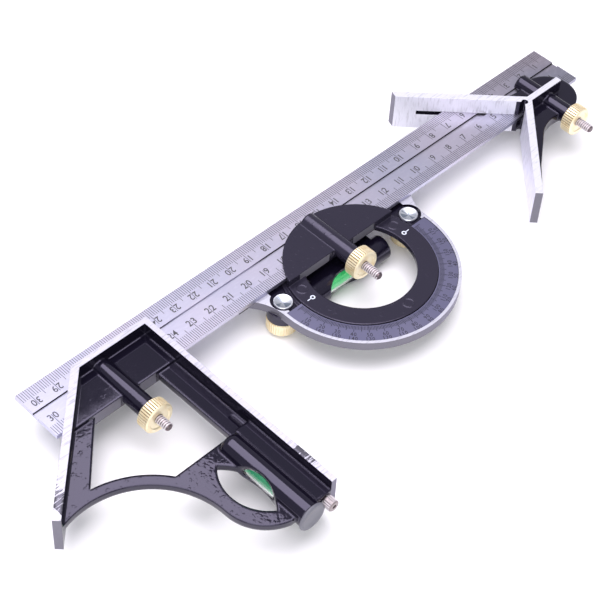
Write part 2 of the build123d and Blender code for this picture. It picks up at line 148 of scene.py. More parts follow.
class Finish(Tree):
    """A material with one Principled shader, and the patterns used on it."""

    def __init__(self, name, **constants):
        self.material = bpy.data.materials.new(name)
        self.material.use_nodes = True
        super().__init__(self.material.node_tree)
        self.shader = self.tree.nodes["Principled BSDF"]
        for key, value in constants.items():
            label = key.replace("_", " ").title().replace("Ior", "IOR")
            self.shader.inputs[label].default_value = value

    def place(self):
        """The point on the piece, in millimetres, as a vector socket and three numbers."""
        point = self.node("ShaderNodeTexCoord").outputs["Object"]
        scaled = self.node("ShaderNodeVectorMath", {"operation": "SCALE"},
                           {0: point, "Scale": 1000.0}).outputs[0]
        parts = self.node("ShaderNodeSeparateXYZ", None, {0: scaled})
        return scaled, [self.value(parts, i) for i in range(3)]

    def noise(self, point, scale, stretch=(1, 1, 1), detail=3.0, roughness=0.55):
        """Noise from 0 to 1; scale is cycles per millimetre, stretch lengthens it per axis."""
        shrunk = self.node("ShaderNodeMapping", None, {
            "Vector": point, "Scale": tuple(scale / s for s in stretch)}).outputs[0]
        made = self.node("ShaderNodeTexNoise", {"noise_dimensions": "3D"}, {
            "Vector": shrunk, "Scale": 1.0, "Detail": detail, "Roughness": roughness})
        return self.value(made)

    def between(self, value, low, high):
        """0 below low, 1 above high, smooth between; low may be the larger."""
        made = self.node("ShaderNodeMapRange", {"interpolation_type": "SMOOTHSTEP"}, {
            "Value": value, "From Min": low, "From Max": high})
        return self.value(made)

    def mix(self, factor, first, second):
        """A colour between two colours, each an RGB triple or a socket."""
        made = self.node("ShaderNodeMix", {"data_type": "RGBA"}, {
            0: factor,
            6: first if isinstance(first, bpy.types.NodeSocket) else (*first, 1.0),
            7: second if isinstance(second, bpy.types.NodeSocket) else (*second, 1.0)})
        return made.outputs[2]

    def blend(self, factor, first, second):
        """A number between two numbers."""
        return first + factor * (second - first)

    def bump(self, height, strength, distance, normal=None):
        inputs = {"Height": height, "Strength": strength, "Distance": distance}
        if normal is not None:
            inputs["Normal"] = normal
        return self.node("ShaderNodeBump", None, inputs).outputs[0]

    def rounded(self, radius, samples=8):
        """A normal that makes sharp corners look rounded, as paint and casting leave them."""
        return self.node("ShaderNodeBevel", {"samples": samples},
                         {"Radius": radius * MM}).outputs[0]

    def feed(self, **links):
        for key, value in links.items():
            socket = self.shader.inputs[key.replace("_", " ").title()]
            self.tree.links.new(value.socket if isinstance(value, Value) else value, socket)


def copy_of(node):
    """A merged copy of a CAD node's mesh."""
    shape = bmesh.new()
    shape.from_mesh(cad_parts[node].data)
    bmesh.ops.remove_doubles(shape, verts=shape.verts, dist=1e-6)
    bmesh.ops.recalc_face_normals(shape, faces=shape.faces)
    mesh = bpy.data.meshes.new(node)
    shape.to_mesh(mesh)
    shape.free()
    return mesh


def piece(name, body, meshes, material, stands_for=(), crease=32.0):
    """One finished piece from several meshes: smooth except at creases, riding on its body.

    A mesh given with a material of its own keeps it."""
    shape = bmesh.new()
    coats = [material]
    for entry in meshes:
        mesh, coat = entry if isinstance(entry, tuple) else (entry, material)
        if coat not in coats:
            coats.append(coat)
        first = len(shape.faces)
        shape.from_mesh(mesh)
        shape.faces.ensure_lookup_table()
        for face in shape.faces[first:]:
            face.smooth = True
            face.material_index = coats.index(coat)
    for edge in shape.edges:
        sharp = len(edge.link_faces) != 2 or edge.calc_face_angle(0.0) > math.radians(crease)
        edge.smooth = not sharp
    made = bpy.data.meshes.new(name)
    shape.to_mesh(made)
    shape.free()
    for coat in coats:
        made.materials.append(coat)
    thing = bpy.data.objects.new(name, made)
    scene.collection.objects.link(thing)
    if stands_for:
        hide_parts(*stands_for)
    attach(thing, body)
    return thing


def dress(node, material):
    """Give its finish to a CAD node that is shown as it is."""
    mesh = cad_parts[node].data
    mesh.materials.clear()
    mesh.materials.append(material)


def geometry_tree(name, sockets):
    """An empty Geometry Nodes tree with named inputs; returns it with its input node."""
    group = bpy.data.node_groups.new(name, "GeometryNodeTree")
    for label, kind in sockets.items():
        group.interface.new_socket(name=label, in_out="INPUT", socket_type=kind)
    group.interface.new_socket(name="Geometry", in_out="OUTPUT", socket_type="NodeSocketGeometry")
    tree = Tree(group)
    return tree, tree.node("NodeGroupInput")


def finish_tree(tree, given, geometry):
    """End a tree in Realize Instances and Set Material; returns its node group."""
    real = tree.node("GeometryNodeRealizeInstances", None, {"Geometry": geometry})
    coated = tree.node("GeometryNodeSetMaterial", None, {
        "Geometry": real.outputs[0], "Material": given.outputs["Material"]})
    tree.node("NodeGroupOutput", None, {"Geometry": coated.outputs[0]})
    return tree.tree


def grown(group, place=None, **inputs):
    """The plain mesh that a Geometry Nodes tree makes from its named inputs."""
    seed = bpy.data.objects.new("seed", bpy.data.meshes.new("seed"))
    scene.collection.objects.link(seed)
    modifier = seed.modifiers.new("grow", "NODES")
    modifier.node_group = group
    for item in group.interface.items_tree:
        key = item.name.lower().replace(" ", "_")
        if item.in_out == "INPUT" and key in inputs:
            modifier[item.identifier] = inputs[key]
    graph = bpy.context.evaluated_depsgraph_get()
    mesh = bpy.data.meshes.new_from_object(seed.evaluated_get(graph))
    bpy.data.objects.remove(seed)
    if place is not None:
        mesh.transform(place)
    return mesh


row_tree, given = geometry_tree("row of marks", {
    "Count": "NodeSocketInt", "Start": "NodeSocketVector", "Step": "NodeSocketVector",
    "Size": "NodeSocketVector", "Material": "NodeSocketMaterial"})
row_line = row_tree.node("GeometryNodeMeshLine", {"mode": "OFFSET"}, {
    "Count": given.outputs["Count"], "Start Location": given.outputs["Start"],
    "Offset": given.outputs["Step"]})
row_bar = row_tree.node("GeometryNodeMeshCube", None, {"Size": given.outputs["Size"]})
row_copies = row_tree.node("GeometryNodeInstanceOnPoints", None, {
    "Points": row_line.outputs[0], "Instance": row_bar.outputs[0]})
row_of_marks = finish_tree(row_tree, given, row_copies.outputs[0])

glyph_store = {}
glyph_width = 0.86


def glyph(character):
    """A numeral as a thin solid, one unit high and centred on its own middle."""
    if character not in glyph_store:
        text = bpy.data.curves.new("numeral", "FONT")
        text.body = character
        text.size = 1.0
        text.extrude = 0.004
        text.offset = 0.014
        text.resolution_u = 3
        holder = bpy.data.objects.new("numeral", text)
        scene.collection.objects.link(holder)
        graph = bpy.context.evaluated_depsgraph_get()
        mesh = bpy.data.meshes.new_from_object(holder.evaluated_get(graph))
        bpy.data.objects.remove(holder)
        low = Vector([min(v.co[i] for v in mesh.vertices) for i in range(3)])
        high = Vector([max(v.co[i] for v in mesh.vertices) for i in range(3)])
        fit = 1.0 / (high.y - low.y)
        narrowed = Matrix.Diagonal((fit * glyph_width, fit, fit, 1.0))
        mesh.transform(narrowed @ Matrix.Translation(-(low + high) / 2))
        glyph_store[character] = mesh
    return glyph_store[character]


def numerals(text, height, spacing, centre, right, up):
    """Copies of numerals set side by side about a centre, all in metres."""
    made = []
    out = right.cross(up)
    turn = Matrix((right, up, out)).transposed().to_4x4()
    for index, character in enumerate(text):
        offset = (index - (len(text) - 1) / 2) * spacing
        place = Matrix.Translation(centre + right * offset) @ turn @ Matrix.Scale(height, 4)
        mesh = glyph(character).copy()
        mesh.transform(place)
        made.append(mesh)
    return made


rule_low, rule_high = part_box("rule")
rule_face = rule_high.z
mark_height = 0.02 * MM
mark_width = 0.25 * MM
steel = Finish("satin ground steel", metallic=1.0)
point, (x, y, z) = steel.place()
grain = steel.noise(point, 6.0, (60, 1, 1), 2.0)
cloud = steel.noise(point, 0.022, detail=1.0)
speck = steel.noise(point, 0.9, (3, 1, 1), 4.0)
tint = steel.between(cloud, 0.35, 0.65)
# Painted reflection: the steel's tone runs from a dim tone at the x = 0 end to a brighter one past
# about 120 mm, standing in for the light its surface reflects; the cloud noise only varies the tone
# at random.
far_end_painted_dim = steel.mix(tint, (0.34, 0.34, 0.42), (0.42, 0.37, 0.43))
near_end_painted_bright = steel.mix(tint, (0.49, 0.49, 0.61), (0.54, 0.51, 0.61))
painted_reflection_gradient = steel.between(x + cloud * 60.0, 10.0, 120.0)
tone = steel.mix(painted_reflection_gradient, far_end_painted_dim, near_end_painted_bright)
tone = steel.mix(steel.between(speck, 0.45, 0.8) * 0.25, tone, (0.70, 0.69, 0.78))
groove_half = 1.6
# Painted shade: the groove's walls are coloured near black, and the shade is mostly taken away
# between about 190 and 235 mm, where the groove looks lit.
groove_wall = (abs(abs(y) - groove_half) < 0.06) & (z < 0.97) & (z > -0.5)
groove_shade_lifted = steel.between(x, 183.0, 194.0) * steel.between(x, 245.0, 228.0)
groove_painted_shade = groove_wall * (1 - groove_shade_lifted * 0.85)
tone = steel.mix(groove_painted_shade, tone, (0.012, 0.011, 0.016))
steel.feed(base_color=tone, roughness=0.3 + grain * 0.16 + cloud * 0.06,
           normal=steel.bump(grain, 0.16, 0.02 * MM, steel.rounded(0.15, 4)))
dress("rule", steel.material)

ink = Finish("black etched ink", metallic=0.0)
point, _ = ink.place()
fade = ink.noise(point, 1.7)
ink.feed(base_color=ink.mix(fade, (0.03, 0.03, 0.036), (0.11, 0.105, 0.12)),
         roughness=0.45 + fade * 0.3)


def marks_along(edge, inward, first, every, count, length):
    """A row of etched marks that run in from one edge of the rule, in millimetres."""
    long = length * MM
    return grown(row_of_marks, count=count, start=(first * MM, edge + inward * long / 2, rule_face),
                 step=(every * MM, 0.0, 0.0), size=(mark_width, long, mark_height),
                 material=ink.material)


numbered_length = 300
short_mark = 4.9
mark_lengths = ((1, short_mark), (5, 6.7), (10, 9.4))
rule_marks = []
for edge, inward in ((rule_low.y, 1), (rule_high.y, -1)):
    for every, length in mark_lengths:
        count = numbered_length // every
        rule_marks.append(marks_along(edge, inward, every, every, count, length))
    rule_marks.append(marks_along(edge, inward, numbered_length + 1, 1, 4, short_mark))
piece("rule_marks", "rule", rule_marks, ink.material)

digit_height = 3.3 * MM
digit_spacing = 2.5 * MM
single_digit_shift = -1.6
number_rows = ((4.5, Vector((0, -1, 0))), (-5.2, Vector((0, 1, 0))))
rule_numbers = []
for centimetre in range(1, numbered_length // 10 + 1):
    label = str(centimetre)
    shift = single_digit_shift if len(label) == 1 else 0.0
    for row_y, up in number_rows:
        right = up.cross(Vector((0, 0, 1)))
        centre = Vector(((10 * centimetre + shift) * MM, row_y * MM, rule_face))
        rule_numbers += numerals(label, digit_height, digit_spacing, centre, right, up)
piece("rule_numbers", "rule", rule_numbers, ink.material)

# ================================================================ square head casting
# The square head is one iron casting under gloss black enamel. Its 90 and 45 degree faces and
# the rims beside them are milled bright after painting, and its sawn ends are left grey.

milled_bright = (0.57, 0.56, 0.64)
sawn_grey = (0.13, 0.127, 0.15)
sawn_dusty = (0.19, 0.185, 0.21)
enamel_black = (0.005, 0.004, 0.010)
enamel_dust = (0.06, 0.06, 0.08)
enamel_sheen = (0.73, 0.69, 0.93, 1.0)
milled_metallic = 0.45


def casting_finish(name, bright_of, sawn_of, left_of=None, rounding=1.3, paint_rough=0.02,
                   paint=enamel_black, milled=milled_bright, streak=0.5, calm=(-400.0, -400.0)):
    """Gloss enamel with milled and sawn places, each given by a rule on x, y and z in mm.

    left_of gives the paint left on milled places. streak is how dark the cutter's streaks are,
    and the enamel is calm, without runs, before the x and the y of calm."""
    made = Finish(name, specular_tint=enamel_sheen, ior=1.6)
    point, (x, y, z) = made.place()
    cutter = made.noise(point, 1.6, (9, 1, 9), 2.0)
    cutter_two = made.noise(point, 2.2, (1, 7, 7), 2.0)
    peel = made.noise(point, 0.26, detail=2.0)
    dust = made.noise(point, 2.6, detail=5.0)
    bright = bright_of(x, y, z)
    sawn = sawn_of(x, y, z)
    if left_of is not None:
        bright = bright * (1 - left_of(made, point, x, y, z) * 0.85)
    metal = bright | sawn
    scored = made.between(cutter, 0.50, 0.70) * 0.55 + made.between(cutter_two, 0.54, 0.74) * 0.2
    mill_tone = made.mix(scored, milled, tuple(streak * part for part in milled))
    saw_tone = made.mix(dust, sawn_grey, sawn_dusty)
    paint_tone = made.mix(made.between(dust, 0.70, 0.80) * 0.5, paint, enamel_dust)
    tone = made.mix(bright, made.mix(sawn, paint_tone, saw_tone), mill_tone)
    rough = made.blend(metal, paint_rough + peel * 0.05, 0.30 + cutter * 0.16)
    soft = made.rounded(rounding)
    crisp = made.rounded(0.2, 4)
    edges = made.node("ShaderNodeMix", {"data_type": "VECTOR"}, {0: metal, 4: soft, 5: crisp})
    normal = edges.outputs[1]
    runs = made.between(made.noise(point, 0.4, detail=2.0), 0.62, 0.70)
    calm_x, calm_y = calm
    wavy = made.between(y, calm_y, calm_y + 8.0) * made.between(x, calm_x, calm_x + 4.0) + 0.1
    enamel_relief = (peel + runs * 0.5) * wavy + dust * 0.015
    relief = made.blend(metal, enamel_relief, (cutter + cutter_two) * 0.12)
    made.feed(base_color=tone, metallic=metal * milled_metallic, roughness=rough,
              normal=made.bump(relief, 0.35, 0.12 * MM, normal))
    return made.material


rim_level = 8.86
square_face_x = 246.06
mitre_line = 287.9
leg_end_y = 100.62
leg_end_width_x = 248.7
mitre_end_line = 378.85
slot_floor_low, slot_floor_high = 15.72, 15.9
painted_level = 8.8
leg_paint_low, leg_paint_high = 80.0, 92.5
tip_paint_low, tip_paint_high = 319.5, 329.0


def square_bright(x, y, z):
    return (abs(z) > rim_level) | (x < square_face_x) | (x - y > mitre_line)


def square_sawn(x, y, z):
    ends = ((y > leg_end_y) & (x < leg_end_width_x)) | (x + y > mitre_end_line)
    floor = (y > slot_floor_low) & (y < slot_floor_high) & (abs(z) < 2.7)
    strips = ((x > 276.4) & (x < 292.0)) | ((x > 258.5) & (x < 266.6))
    return ends | (floor & strips)


def square_left(made, point, x, y, z):
    """Streaks of enamel left on the rim near the leg's end, and chips of it near the tip."""
    patch = made.noise(point, 0.8, detail=4.0)
    streak = made.noise(point, 1.5, (7.0, 0.8, 1.0), 2.0)
    worn = made.between(y, 82.0, leg_paint_high) * 0.17 + 0.40
    stretch = (y > leg_paint_low + patch) & (y < leg_paint_high) & (x < 249)
    leg = ((streak > worn) | (y < 83.4)) & stretch
    thicker = made.between(x, 319.0, tip_paint_high) * 0.28
    tip = (x > tip_paint_low) & (x < tip_paint_high + patch)
    chips = made.between(streak + thicker, 0.60, 0.68) & tip
    return (leg | chips) & (z > painted_level)


square_enamel = casting_finish("enamel of the square head", square_bright, square_sawn, square_left,
                               calm=(264.0, 14.0))
piece("square_head_casting", "square_head", [copy_of("square_head")],
      square_enamel, ["square_head"])

# ================================================================ clamp bolts, nuts and springs
# Each head is clamped to the rule by a nickel-plated draw bolt that hooks the rule's groove, a
# coil spring round it inside the boss, and a straight-knurled nut of pale brass with a dished face.

ring_tree, given = geometry_tree("ring of bars", {
    "Count": "NodeSocketInt", "First": "NodeSocketFloat", "Step": "NodeSocketFloat",
    "Radius": "NodeSocketFloat", "Size": "NodeSocketVector", "Turn": "NodeSocketFloat",
    "Lift": "NodeSocketFloat", "Material": "NodeSocketMaterial"})
ring_points = ring_tree.node("GeometryNodeMeshLine", {"mode": "OFFSET"}, {
    "Count": given.outputs["Count"], "Offset": (0.0, 0.0, 0.0)})
ring_index = ring_tree.value(ring_tree.node("GeometryNodeInputIndex"))
ring_first = Value(ring_tree.tree, given.outputs["First"])
ring_step = Value(ring_tree.tree, given.outputs["Step"])
ring_turns = ring_tree.node("ShaderNodeCombineXYZ", None, {
    "Z": ring_first + ring_index * ring_step})
ring_bar = ring_tree.node("GeometryNodeMeshCube", None, {"Size": given.outputs["Size"]})
ring_offset = ring_tree.node("ShaderNodeCombineXYZ", None, {
    "X": given.outputs["Radius"], "Z": given.outputs["Lift"]})
ring_twist = ring_tree.node("ShaderNodeCombineXYZ", None, {"Z": given.outputs["Turn"]})
ring_placed = ring_tree.node("GeometryNodeTransform", None, {
    "Geometry": ring_bar.outputs[0], "Translation": ring_offset.outputs[0],
    "Rotation": ring_twist.outputs[0]})
ring_copies = ring_tree.node("GeometryNodeInstanceOnPoints", None, {
    "Points": ring_points.outputs[0], "Instance": ring_placed.outputs[0],
    "Rotation": ring_turns.outputs[0]})
ring_of_bars = finish_tree(ring_tree, given, ring_copies.outputs[0])

thread_tree, given = geometry_tree("screw thread", {
    "Turns": "NodeSocketFloat", "Radius": "NodeSocketFloat", "Length": "NodeSocketFloat",
    "Ridge": "NodeSocketFloat", "Material": "NodeSocketMaterial"})
thread_path = thread_tree.node("GeometryNodeCurveSpiral", None, {
    "Resolution": 28, "Rotations": given.outputs["Turns"], "Start Radius": given.outputs["Radius"],
    "End Radius": given.outputs["Radius"], "Height": given.outputs["Length"]})
thread_edge = thread_tree.node("GeometryNodeCurvePrimitiveCircle", None, {
    "Resolution": 6, "Radius": given.outputs["Ridge"]})
thread_swept = thread_tree.node("GeometryNodeCurveToMesh", None, {
    "Curve": thread_path.outputs[0], "Profile Curve": thread_edge.outputs[0], "Fill Caps": True})
screw_thread = finish_tree(thread_tree, given, thread_swept.outputs[0])


def facing(axis, spot):
    """A placing matrix whose own Z runs along an axis of the set."""
    towards = Vector(axis)
    side = Vector((1, 0, 0)) if abs(towards.x) < 0.5 else Vector((0, 1, 0))
    other = towards.cross(side)
    turn = Matrix((side, other, towards)).transposed().to_4x4()
    return Matrix.Translation(spot) @ turn


def turned(profile, place, steps=72):
    """A turned shape: (radius, height) pairs in mm round its axis.

    A profile that starts on the axis ends on it; any other closes on itself."""
    shape = bmesh.new()
    rings = []
    for radius, height in profile:
        if radius == 0:
            rings.append([shape.verts.new((0, 0, height * MM))] * steps)
            continue
        ring = []
        for step in range(steps):
            angle = 2 * math.pi * step / steps
            ring.append(shape.verts.new((radius * MM * math.cos(angle),
                                         radius * MM * math.sin(angle), height * MM)))
        rings.append(ring)
    closed = profile[0][0] != 0
    count = len(rings) if closed else len(rings) - 1
    for index in range(count):
        low, high = rings[index], rings[(index + 1) % len(rings)]
        for step in range(steps):
            after = (step + 1) % steps
            corners = []
            for vert in (low[step], low[after], high[after], high[step]):
                if vert not in corners:
                    corners.append(vert)
            if len(corners) > 2:
                shape.faces.new(corners)
    bmesh.ops.recalc_face_normals(shape, faces=shape.faces)
    mesh = bpy.data.meshes.new("turned")
    shape.to_mesh(mesh)
    shape.free()
    mesh.transform(place)
    return mesh


brass = Finish("pale turned brass", metallic=0.55)
point, _ = brass.place()
turning = brass.noise(point, 2.4, (6, 1, 6), 2.0)
tarnish = brass.noise(point, 0.35, detail=4.0)
yellowed = brass.between(tarnish, 0.4, 0.75)
brass.feed(base_color=brass.mix(yellowed, (0.97, 0.87, 0.62), (0.90, 0.74, 0.44)),
           roughness=0.24 + turning * 0.14 + tarnish * 0.08,
           normal=brass.bump(turning, 0.2, 0.02 * MM, brass.rounded(0.12, 4)))

# Painted shade: a darker copy of the brass for the knurl's valleys, standing in for the shade
# between the ridges; its noise only varies that shade.
painted_shade_brass = Finish("brass in the knurl's valleys", metallic=0.3)
point, _ = painted_shade_brass.place()
valley_shade_mottle = painted_shade_brass.noise(point, 0.8, detail=4.0)
painted_shade_brass.feed(base_color=painted_shade_brass.mix(valley_shade_mottle, (0.16, 0.09, 0.03), (0.26, 0.17, 0.07)),
            roughness=0.5 + valley_shade_mottle * 0.2)

# Painted shade: the plated bolt is coloured dark, so that its core between the bright thread crests
# reads as shaded.
nickel = Finish("nickel-plated steel", metallic=1.0)
point, _ = nickel.place()
plating = nickel.noise(point, 1.1, detail=4.0)
nickel.feed(base_color=nickel.mix(plating, (0.20, 0.16, 0.17), (0.12, 0.09, 0.10)),
            roughness=0.25 + plating * 0.2,
            normal=nickel.bump(plating, 0.15, 0.02 * MM))

# Painted highlight: the thread crests and the scriber knob's ridges get this light tone, standing
# in for the light they catch; its noise only varies the tone.
crest_highlight = Finish("bright thread crests", metallic=0.35)
point, _ = crest_highlight.place()
highlight_mottle = crest_highlight.noise(point, 1.1, detail=4.0)
crest_highlight.feed(base_color=crest_highlight.mix(highlight_mottle, (0.80, 0.75, 0.79), (0.60, 0.55, 0.58)),
           roughness=0.4 + highlight_mottle * 0.16)

wire = Finish("spring wire", metallic=1.0)
point, _ = wire.place()
drawn = wire.noise(point, 3.0)
wire.feed(base_color=wire.mix(drawn, (0.42, 0.42, 0.44), (0.3, 0.3, 0.32)),
          roughness=0.3 + drawn * 0.2)

bore_radius = 2.06
ridge_count = 38
ridge_size = (0.56 * MM, 0.68 * MM)


def knurled_nut(node, body, axis, length, valley=painted_shade_brass.material):
    """A knurled nut: dished at its outer face, its ridges set round it one by one."""
    low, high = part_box(node)
    spot = (low + high) / 2
    spot -= Vector(axis) * length * MM / 2
    outer = (high - low)[0] / 2 / MM
    root = outer - 0.42
    place = facing(axis, spot)
    body_mesh = turned([
        (bore_radius, 0.0), (outer - 0.75, 0.0), (root - 0.1, 0.35), (root - 0.1, length - 0.75),
        (outer - 0.12, length - 0.68), (outer - 0.12, length - 0.5), (outer - 0.62, length),
        (4.9, length), (4.5, length - 0.42), (2.7, length - 0.5),
        (bore_radius, length - 0.75)], place, 96)
    # The valleys take the valley material: for the clamp nuts the darker brass of painted shade,
    # for the lock nuts plain brass.
    valleys = turned([(root - 0.6, 0.35), (root, 0.36), (root, length - 0.72),
                      (root - 0.6, length - 0.7)], place, 96)
    ridges = grown(ring_of_bars, place, count=ridge_count, first=0.0,
                   step=2 * math.pi / ridge_count, radius=(root + 0.13) * MM, turn=0.0,
                   size=(*ridge_size, (length - 1.3) * MM),
                   lift=(length / 2 - 0.12) * MM, material=brass.material)
    return piece(node + "_knurled", body, [body_mesh, (valleys, valley), ridges],
                 brass.material, [node], 30.0)


clamp_nut_length = 5.9
thread_pitch = 1.0 * MM
core_share = 0.8


def clamp(prefix, body):
    """One head's bolt, nut and spring; the bolt's end is a thinner core under its thread."""
    nut_low, nut_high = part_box(prefix + "_clamp_nut")
    _, bolt_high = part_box(prefix + "_clamp_bolt")
    knurled_nut(prefix + "_clamp_nut", body + "_nut", (0, 1, 0), clamp_nut_length)
    middle = (nut_low + nut_high) / 2
    bolt = copy_of(prefix + "_clamp_bolt")
    neck = nut_low.y - 1.0 * MM
    for vert in bolt.vertices:
        from_axis = math.hypot(vert.co.x - middle.x, vert.co.z - middle.z)
        if vert.co.y > neck and from_axis > 1.2 * MM:
            vert.co.x = middle.x + (vert.co.x - middle.x) * core_share
            vert.co.z = middle.z + (vert.co.z - middle.z) * core_share
    start = nut_high.y - 1.5 * MM
    length = bolt_high.y - 0.45 * MM - start
    thread = grown(screw_thread, facing((0, 1, 0), Vector((middle.x, start, middle.z))),
                   turns=length / thread_pitch, radius=1.66 * MM, length=length,
                   ridge=0.32 * MM, material=nickel.material)
    piece(prefix + "_clamp_bolt_threaded", body + "_bolt",
          [bolt, (thread, crest_highlight.material)], nickel.material, [prefix + "_clamp_bolt"], 40.0)
    dress(prefix + "_clamp_spring", wire.material)


clamp("square", "square")
clamp("protractor", "turret")
clamp("centre", "centre")

# ================================================================ square head's level
# A sealed glass tube of green liquid with a bubble lies in the round housing beside the leg. It
# shows through the eye in the web, and a moulded grey cap closes the end of its bore.

clear = Finish("clear vial glass", transmission_weight=1.0, ior=1.47, roughness=0.02)
point, _ = clear.place()
smear = clear.noise(point, 0.6, detail=2.0)
clear.feed(base_color=clear.mix(smear, (0.93, 1.0, 0.95), (0.97, 1.0, 0.98)),
           roughness=smear * 0.04)


def vial_liquid(name, deep, light):
    """Green spirit, deeper in some places than in others; it also glows faintly in its own green,
    as painted light.
    """
    # Painted light: the emission makes the liquid glow in its own colour, though it is no lamp.
    made = Finish(name, transmission_weight=0.35, ior=1.36, emission_strength=0.35)
    point, _ = made.place()
    depth = made.noise(point, 0.12, detail=1.0)
    green = made.mix(depth, deep, light)
    made.feed(base_color=green, emission_color=green, roughness=0.04 + depth * 0.06)
    return made.material


dress("square_vial_glass", clear.material)
deep_green = vial_liquid("deep green spirit", (0.01, 0.20, 0.10), (0.05, 0.40, 0.20))
dress("square_vial_liquid", deep_green)

moulded = Finish("moulded grey plastic")
point, _ = moulded.place()
mould = moulded.noise(point, 1.5, detail=4.0)
moulded.feed(base_color=moulded.mix(mould, (0.10, 0.10, 0.125), (0.17, 0.17, 0.20)),
             roughness=0.32 + mould * 0.2,
             normal=moulded.bump(mould, 0.2, 0.05 * MM, moulded.rounded(0.3, 4)))
cap_low, cap_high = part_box("square_vial_cap")
cap_x = (cap_low.x + cap_high.x) / 2
cap_z = (cap_low.z + cap_high.z) / 2
cap_place = facing((0, 1, 0), Vector((cap_x, cap_high.y, cap_z)))
cap_mesh = turned([(0, -5.85), (4.35, -5.85), (4.35, -1.3), (5.9, -1.3), (6.25, -1.0),
                   (6.25, -0.55), (5.95, -0.15), (5.4, 0.0), (4.7, -0.02), (4.45, -0.16),
                   (0, -0.2)], cap_place, 80)
piece("square_vial_cap_moulded", "square_head", [cap_mesh], moulded.material,
      ["square_vial_cap"])

# ================================================================ scriber
# A hardened needle is pushed into the end of the casting, gripped by a small brass bush. Only
# its straight-knurled knob shows.

dress("scriber_bush", brass.material)
knob_low, knob_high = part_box("scriber_knob")
knob_length = (knob_high.y - knob_low.y) / MM
knob_x = (knob_low.x + knob_high.x) / 2
knob_z = (knob_low.z + knob_high.z) / 2
knob_place = facing((0, 1, 0), Vector((knob_x, knob_low.y, knob_z)))
knob_finish = Finish("knurled steel knob", metallic=0.7)
point, _ = knob_finish.place()
knob_mottle = knob_finish.noise(point, 1.2, detail=4.0)
# Painted shade: the knob's core is coloured darker than its ridges, standing in for the shade in
# the knurl's valleys; the noise only varies the tone.
knob_finish.feed(base_color=knob_finish.mix(knob_mottle, (0.34, 0.29, 0.29), (0.24, 0.20, 0.20)),
                 roughness=0.25 + knob_mottle * 0.2)
knob_mesh = turned([(1.02, 0.0), (2.15, 0.0), (2.4, 0.3), (2.4, knob_length - 0.3),
                    (2.1, knob_length), (0.9, knob_length), (0.9, knob_length - 0.2),
                    (1.02, knob_length - 0.3)], knob_place, 48)
knob_ridge_count = 18
knob_ridge = 0.36 * MM
knob_ridges = grown(ring_of_bars, knob_place, count=knob_ridge_count, first=0.0,
                    step=2 * math.pi / knob_ridge_count, radius=2.33 * MM, turn=math.pi / 4,
                    size=(knob_ridge, knob_ridge, (knob_length - 0.8) * MM),
                    lift=knob_length / 2 * MM, material=knob_finish.material)
# The ridges take the crests' light tone, a painted highlight.
piece("scriber_knob_knurled", "scriber", [knob_mesh, (knob_ridges, crest_highlight.material)],
      knob_finish.material, ["scriber_knob"], 30.0)
dress("scriber_needle", knob_finish.material)

# ================================================================ protractor turret
# The turret is a round iron casting under black enamel: a slotted half disc that grips the rule
# and a flat ring that the frame turns round. White index marks on the ring read the scale.

turret_low, turret_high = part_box("protractor_turret")
turret_x = (turret_low.x + turret_high.x) / 2 / MM
turret_radius = 34.0
turret_y = turret_high.y / MM - turret_radius
ring_top = -0.9
ring_middle = 27.0
above_all = 90.0


def turret_bright(x, y, z):
    """No place on the turret is milled."""
    return z > above_all


def turret_sawn(x, y, z):
    strip = (y > slot_floor_low) & (y < slot_floor_high) & (abs(z) < 2.1)
    one_side = (x > turret_x + 7.0) & (x < turret_x + 24.0)
    other_side = (x < turret_x - 7.0) & (x > turret_x - 19.5)
    return strip & (one_side | other_side)


turret_enamel = casting_finish("enamel of the turret", turret_bright, turret_sawn, rounding=0.8,
                               paint_rough=0.15, paint=(0.017, 0.015, 0.026))
ejector_profile = [(2.0, -0.1), (2.45, -0.1), (2.38, 0.07), (2.22, 0.11), (2.06, 0.07)]
ejector_marks = []
for mark_x, mark_y in ((ring_middle, -6.7), (-ring_middle, -6.7), (0.3, 27.6)):
    spot = Vector(((turret_x + mark_x) * MM, (turret_y + mark_y) * MM, ring_top * MM))
    ejector_marks.append(turned(ejector_profile, facing((0, 0, 1), spot), 40))
piece("turret_casting", "turret", [copy_of("protractor_turret")] + ejector_marks,
      turret_enamel, ["protractor_turret"])

white = Finish("white index paint")
point, _ = white.place()
chalk = white.noise(point, 2.5, detail=4.0)
white.feed(base_color=white.mix(chalk, (0.80, 0.84, 0.92), (0.55, 0.60, 0.72)),
           roughness=0.4 + chalk * 0.3)
index_marks = []
for side in (1, -1):
    spot = Vector(((turret_x + side * ring_middle) * MM, (turret_y - 0.6) * MM, ring_top * MM))
    index_marks.append(turned([(0.58, -0.05), (1.08, -0.05), (1.08, 0.03), (0.58, 0.03)],
                              facing((0, 0, 1), spot), 28))
    index_marks.append(grown(
        row_of_marks, count=1, start=(spot.x + side * 1.9 * MM, spot.y, spot.z),
        step=(0.0, 0.0, 0.0), size=(2.0 * MM, 0.4 * MM, 0.06 * MM), material=white.material))
piece("turret_index_marks", "turret", index_marks, white.material)

# ================================================================ protractor frame and scale
# The frame is a half-round casting with two flared ears and a straight base. Its upper rim, ears
# and outer wall are machined; its pockets, bosses and level housing stay black. A satin scale
# half-ring etched in degrees is let into its rim.

frame_radius = 41.9
ear_radius = 22.0
ear_y = turret_y - 1.7
skin = 0.12
frame_rim_level = -1.2
base_face_y = 4.86
ear_end = 50.9
wall_foot = -5.35


def frame_bright(x, y, z):
    return (z > frame_rim_level) | (y < base_face_y)


